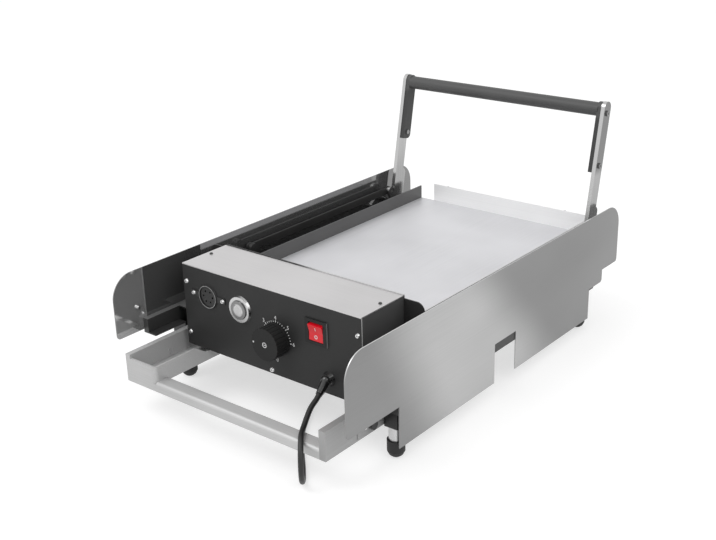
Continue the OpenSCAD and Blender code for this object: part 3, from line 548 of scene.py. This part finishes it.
def painted(name, col, rough, grain=1100, bumpy=0.12, vary=0.1, coat=0.0, glow=0.0, shine=0.5):
    """Powder coat or moulded plastic: fine pebbled skin with slight clouding."""
    look = Look(name)
    fine = look.noise((grain,) * 3, 2.0, 0.5)
    broad = look.noise((14,) * 3, 3.0, 0.55)
    return look.finish({
        "Base Color": look.tone(broad, col, 1 - vary, 1 + vary),
        "Roughness": look.spread(broad, rough - 0.05, rough + 0.06),
        "Specular IOR Level": shine,
        "Coat Weight": coat,
        "Coat Roughness": 0.12,
        "Emission Color": rgba(col),
        "Emission Strength": glow,
        "Normal": look.bump(fine, bumpy, 0.0003),
    })


def turned(name, mid, col, dark, rough, zone_r=0.0205, step=900):
    """Turned metal: fine rings about an axis along Y through mid, with one dark zone."""
    look = Look(name)
    flat = {"Vector": look.texture_place(), "Location": (-mid.x, 0, -mid.z), "Scale": (1, 0, 1)}
    r = look.node("VectorMath", {0: look.node("Mapping", flat)["Vector"]}, operation="LENGTH")["Value"]
    zones = look.node("ValToRGB", {"Fac": look.math("MULTIPLY", r, 1 / zone_r)})["Color"]
    elements = zones.node.color_ramp.elements
    stops = ((0.0, col), (0.42, col), (0.47, dark), (0.68, dark), (0.73, col), (1.0, col))
    while len(elements) < len(stops):
        elements.new(0.5)
    for element, (at, stop_col) in zip(elements, stops):
        element.position = at
        element.color = rgba(stop_col)
    wave = look.math("SINE", look.math("MULTIPLY", r, step * 2 * math.pi))
    return look.finish({
        "Base Color": zones,
        "Roughness": look.spread(look.noise((300,) * 3, 2.0, 0.5), rough - 0.05, rough + 0.05),
        "Metallic": 1.0,
        "Normal": look.bump(wave, 0.08, 0.0001),
    })


# Materials: side panels, with the slant of the painted sheen band's two edges and where they fade in and out along
# Y

SHEEN_FORE_SLANT, SHEEN_FORE = 0.5, (-0.22, -0.09)
SHEEN_AFT_SLANT, SHEEN_AFT = 1.0, (0.079, 0.209)
# How far back from the front the inner face's lighter strip, a painted reflection, reaches
REFLECTION_STRIP_LONG = 0.058


def side_panel(name, inward):
    """Brushed outside with a painted sheen band, smooth and darker inside but for a front strip of painted
    reflection, and a painted highlight on the rim.
    """
    look = Look(name)
    fine = look.noise(GRAIN["y"], 4.0, 0.6)
    mixed = look.weighted(fine, 0.35, look.noise((5, 3, 6), 2.0, 0.5), 0.65)
    at, facing = look.place(), look.normal()

    def clouded(col, low=0.9, high=1.1):
        return look.tone(mixed, col, low, high, MIXED_SPAN)

    def slanted(slant):
        return look.math("ADD", at["Y"], look.math("MULTIPLY", at["Z"], slant))

    # Outside: the slanted band at full brightness is a painted sheen; beyond it the steel is dimmed to about half.
    sheen_fore = look.fade(slanted(SHEEN_FORE_SLANT), *SHEEN_FORE)
    sheen_aft = look.fade(slanted(SHEEN_AFT_SLANT), *SHEEN_AFT, 1.0, 0.0)
    outside = look.mix(look.both(sheen_fore, sheen_aft), clouded(grey(183), 0.5, 0.6), clouded(grey(183)))
    # Inside: the lighter strip at the front is a painted reflection.
    in_reflection_strip = look.math("LESS_THAN", at["Y"], SIDE_FRONT + REFLECTION_STRIP_LONG)
    inside = look.mix(in_reflection_strip, clouded(grey(138)), clouded(grey(208)))
    looks_in = look.over(look.math("MULTIPLY", facing["X"], inward), LOOKS_ALONG)
    look.finish({
        "Base Color": look.mix(looks_in, outside, inside),
        "Roughness": look.mix_numbers(looks_in, look.spread(fine, 0.30, 0.42), look.spread(fine, 0.05, 0.08)),
        "Metallic": look.spread(looks_in, 1.0, 0.78, (0.0, 1.0)),
        "Normal": look.bump(fine, 0.04, 0.0002),
    })
    # Up-facing edges of the sheet get a painted highlight.
    edge = look.math("LESS_THAN", look.math("ABSOLUTE", facing["X"]), LOOKS_ALONG)
    return look.overlay(look.both(edge, look.fade(facing["Z"], 0.0, 0.6)), grey(206))


# Materials: second colours, some of them painted highlights and reflections, with the heights in metres between
# which they fade

LIP_UNDER, LIP_HALF = 0.0004, 0.03
FLANGE_UNDER = 0.004
LEG_POST_DARK = (0.045, 0.046)
GRIP_LEG_DARK = (0.338, 0.345)
ARM_REFLECTION_DARK = (0.25, 0.264)


def facing_beyond(look, axis, limit, col):
    """A lighter second colour, painted light, on the faces beyond a place on an axis that look along it."""
    beyond = look.over(look.place()[axis], limit)
    return look.overlay(look.both(beyond, look.over(look.normal()[axis], LOOKS_ALONG)), col)


def bare_sides(look, col):
    """Painted highlight on the left and right edges of a coated sheet."""
    return look.overlay(look.over(look.math("ABSOLUTE", look.normal()["X"]), LOOKS_ALONG), col)


def bright_lip(look, col):
    """A painted reflection of the lid: a second colour above the lid, on the right half."""
    at = look.place()
    above = look.over(at["Z"], LID_TOP - LIP_UNDER)
    return look.overlay(look.both(above, look.fade(at["X"], -LIP_HALF, LIP_HALF)), col)


def upper(look, heights, col):
    """A second colour above two heights, which fades in between them."""
    return look.overlay(look.fade(look.place()["Z"], *heights), col)


def lower(look, heights, col):
    """A second colour below two heights, which fades out between them."""
    return look.overlay(look.fade(look.place()["Z"], *heights, 1.0, 0.0), col)


def handle_arm(name, side):
    """Flat bar with a painted highlight on its front edge, and a painted reflection that darkens its outer face
    beside the grip.
    """
    look = brushed(name, grey(174), 0.17, "z", streak=0.06, cloud=0.14)
    facing = look.normal()
    outside = look.over(look.math("MULTIPLY", facing["X"], side), LOOKS_ALONG)
    # Painted reflection: the outer face is darker beside the grip.
    look.overlay(look.both(outside, look.fade(look.place()["Z"], *ARM_REFLECTION_DARK)), grey(126))
    # Painted highlight: the faces that look forward are lighter.
    return look.overlay(look.math("LESS_THAN", facing["Y"], -LOOKS_ALONG), grey(194))


# Materials: looks of the slots, and of the nodes that have their own

WARM, COOL = (1.0, 0.985, 0.99), (0.97, 0.97, 1.0)
COAT = {"grain": 1400, "bumpy": 0.1, "vary": 0.06}


def slot_looks():
    looks = (
        # The rail's top faces get a painted highlight.
        facing_beyond(painted("rail_black", grey(54), 0.42), "Z", RAIL_TOP - FLANGE_UNDER, grey(118)),
        brushed("plate_steel", grey(200), 0.34, "y"),
        brushed("tray_aluminium", grey(198), 0.5, "x", streak=0.05, cloud=0.05, metal=0.4),
        brushed("bolt_zinc", grey(222), 0.24, "z", streak=0.05, cloud=0.06),
        painted("bush_dark", grey(60), 0.4),
        brushed("sleeve_zinc", grey(200), 0.3, "z"),
        painted("foot_rubber", grey(36), 0.62, grain=700, bumpy=0.2, vary=0.15),
        brushed("pin_steel", grey(190), 0.22, "z"),
        painted("clip_dark", grey(50), 0.4),
        # Above the lid, on the right half, the black gets a painted reflection of the lid's steel.
        bright_lip(painted("box_black", grey(42, WARM), 0.5, **COAT, shine=0.3), grey(196)),
        brushed("lid_steel", grey(203, WARM), 0.40, "x", streak=0.035, cloud=0.03),
        painted("thermostat_plastic", (0.58, 0.54, 0.42), 0.5),
        # The switch housing's right-facing side gets a painted highlight.
        facing_beyond(painted("switch_black", grey(40), 0.5, grain=1500, bumpy=0.05, shine=0.2),
                      "X", SWITCH.x, grey(140)),
        painted("rocker_red", (0.55, 0.004, 0.012), 0.35, grain=900, bumpy=0.03, glow=0.35),
        turned("button_chrome", BUTTON, grey(196), grey(132), 0.22),
        painted("buzzer_black", grey(32), 0.4),
        painted("relay_plastic", (0.12, 0.13, 0.15), 0.5),
        painted("cord_rubber", grey(30), 0.4, grain=500, vary=0.12),
        brushed("contact_brass", (0.72, 0.55, 0.26), 0.25, "y"),
        painted("knob_black", grey(36), 0.5, grain=1600, bumpy=0.08, shine=0.2),
        brushed("platen_aluminium", grey(217, COOL), 0.45, "y", streak=0.03, cloud=0.04, metal=0.35),
        brushed("skirt_steel", grey(180), 0.4, "x"),
        brushed("heater_steel", (0.20, 0.18, 0.16), 0.45, "y"),
        painted("fence_dark", grey(84), 0.36, grain=1400, bumpy=0.06, vary=0.08),
        brushed("fence_bright", grey(250), 0.42, "x", streak=0.02, cloud=0.02, metal=0.25),
        painted("link_steel", grey(40), 0.4, grain=900, bumpy=0.08),
        painted(PRINT, grey(232), 0.5, grain=2000, bumpy=0.02, vary=0.04),
    )
    return {look.name: look for look in looks}


def own_looks():
    grip = painted("grip_moulded", grey(74), 0.5, grain=600, bumpy=0.2)
    return {
        "side_panel_right": side_panel("panel_right", -1),
        "side_panel_left": side_panel("panel_left", 1),
        # The right fence is pale, unlike the dark left one, so that its top edge shows as a painted highlight.
        "fence_right": brushed("fence_pale_lit", grey(214), 0.4, "y", streak=0.03, cloud=0.03, metal=0.3),
        # The front panel's left and right edges get a painted highlight.
        "front_panel": bare_sides(painted("panel_black", grey(42), 0.5, **COAT, shine=0.3), grey(200)),
        "leg_posts": upper(brushed("leg_zinc", grey(200), 0.3, "z"), LEG_POST_DARK, grey(62)),
        "grip": lower(grip, GRIP_LEG_DARK, grey(54)),
        "handle_arm_right": handle_arm("arm_right", 1),
        "handle_arm_left": handle_arm("arm_left", -1),
        "tray_rail": brushed("rail_aluminium", grey(166), 0.45, "y", streak=0.05, cloud=0.05, metal=0.5),
        # The case's black is lighter than the front panel's, as painted light on its sides.
        "box_case": painted("case_black_lit", grey(74), 0.5, **COAT),
        "cord_gland": painted("gland_black", grey(24), 0.2, grain=900, bumpy=0.04, coat=0.6),
        "grip_screws": brushed("screw_grey", grey(140), 0.3, "x"),
    }


def dress(looks, own):
    """Gives each solid its own look, or that of its slot."""
    slots = {row["node"]: row["material_slot"] for row in frame["record"]["subparts"]}
    for name, ob in nodes.items():
        look = own.get(name) or looks[slots[name]]
        ob.data.materials.clear()
        ob.data.materials.append(look.material)


# Edges

EDGED = ("front_panel", "box_case", "lid", "tray_channel", "tray_bar", "tray_rail", "knob", "switch_housing",
         "side_panel_right", "side_panel_left", "handle_arm_right", "handle_arm_left", "platen_plate_top",
         "fence_left", "fence_right", "fence_rear", "bulkhead")
EDGE_WIDTH, EDGE_ANGLE = 0.0005, math.radians(50)


def soften():
    """Takes the sharp edge off sheet and bar."""
    for name in EDGED:
        bevel = nodes[name].modifiers.new("edge", "BEVEL")
        bevel.width = EDGE_WIDTH
        bevel.segments = 2
        bevel.limit_method = "ANGLE"
        bevel.angle_limit = EDGE_ANGLE


# Stage: a pale floor, a white surround and two soft lights with place, size in metres and power in watts

FLOOR_HALF, FLOOR_DROP = 30, 0.0002
FLOOR_GLOW, WORLD_LIGHT, WORLD_GLOW = 0.6, 0.78, 0.22
LIGHT_AIM = Vector((0, 0, 0.1))
LIGHTS = (("key", Vector((-0.9, -1.6, 2.6)), 1.6, 26), ("fill", Vector((2.2, -0.4, 1.8)), 1.8, 12))
WHITE = (1, 1, 1, 1)


def seen(net):
    """1 for what the camera sees, itself or in a mirror or through glass, else 0."""
    path = net.node("LightPath", {})
    direct = net.math("MAXIMUM", path["Is Camera Ray"], path["Is Glossy Ray"])
    return net.math("MAXIMUM", direct, path["Is Transmission Ray"])


def make_floor():
    bm = bmesh.new()
    bmesh.ops.create_grid(bm, x_segments=1, y_segments=1, size=FLOOR_HALF)
    floor = bpy.data.objects.new("floor", mesh_of("floor", bm))
    scene.collection.objects.link(floor)
    floor.location = (0, 0, -FLOOR_DROP)
    look = Look("floor")
    look.finish({
        "Base Color": (0.5, 0.5, 0.5, 1),
        "Roughness": 0.9,
        "Specular IOR Level": 0.1,
        "Emission Color": WHITE,
        "Emission Strength": look.math("MULTIPLY", seen(look), FLOOR_GLOW),
    })
    floor.data.materials.append(look.material)


def make_world():
    world = bpy.data.worlds.new("world")
    scene.world = world
    world.use_nodes = True
    net = Net(world.node_tree)
    surround = net.nodes["Background"].inputs
    glow = net.math("MULTIPLY", seen(net), WORLD_GLOW)
    net.feed(surround["Color"], WHITE)
    net.feed(surround["Strength"], net.math("ADD", glow, WORLD_LIGHT))


def make_lights():
    for name, at, size, power in LIGHTS:
        light = bpy.data.lights.new(name, "AREA")
        light.size = size
        light.energy = power
        ob = bpy.data.objects.new(name, light)
        scene.collection.objects.link(ob)
        ob.location = at
        ob.rotation_mode = "QUATERNION"
        ob.rotation_quaternion = (LIGHT_AIM - at).to_track_quat("-Z", "Y")


make_camera()
looks = slot_looks()
dress(looks, own_looks())
soften()
make_cord(looks["cord_rubber"])
make_dial(looks[PRINT])
make_knob_marks(looks[PRINT])
make_rocker_marks(looks[PRINT])
make_crosses(looks["clip_dark"])
make_buzzer_ring(brushed("rim_highlight_grey", grey(160), 0.3, "x"))
make_floor()
make_world()
make_lights()
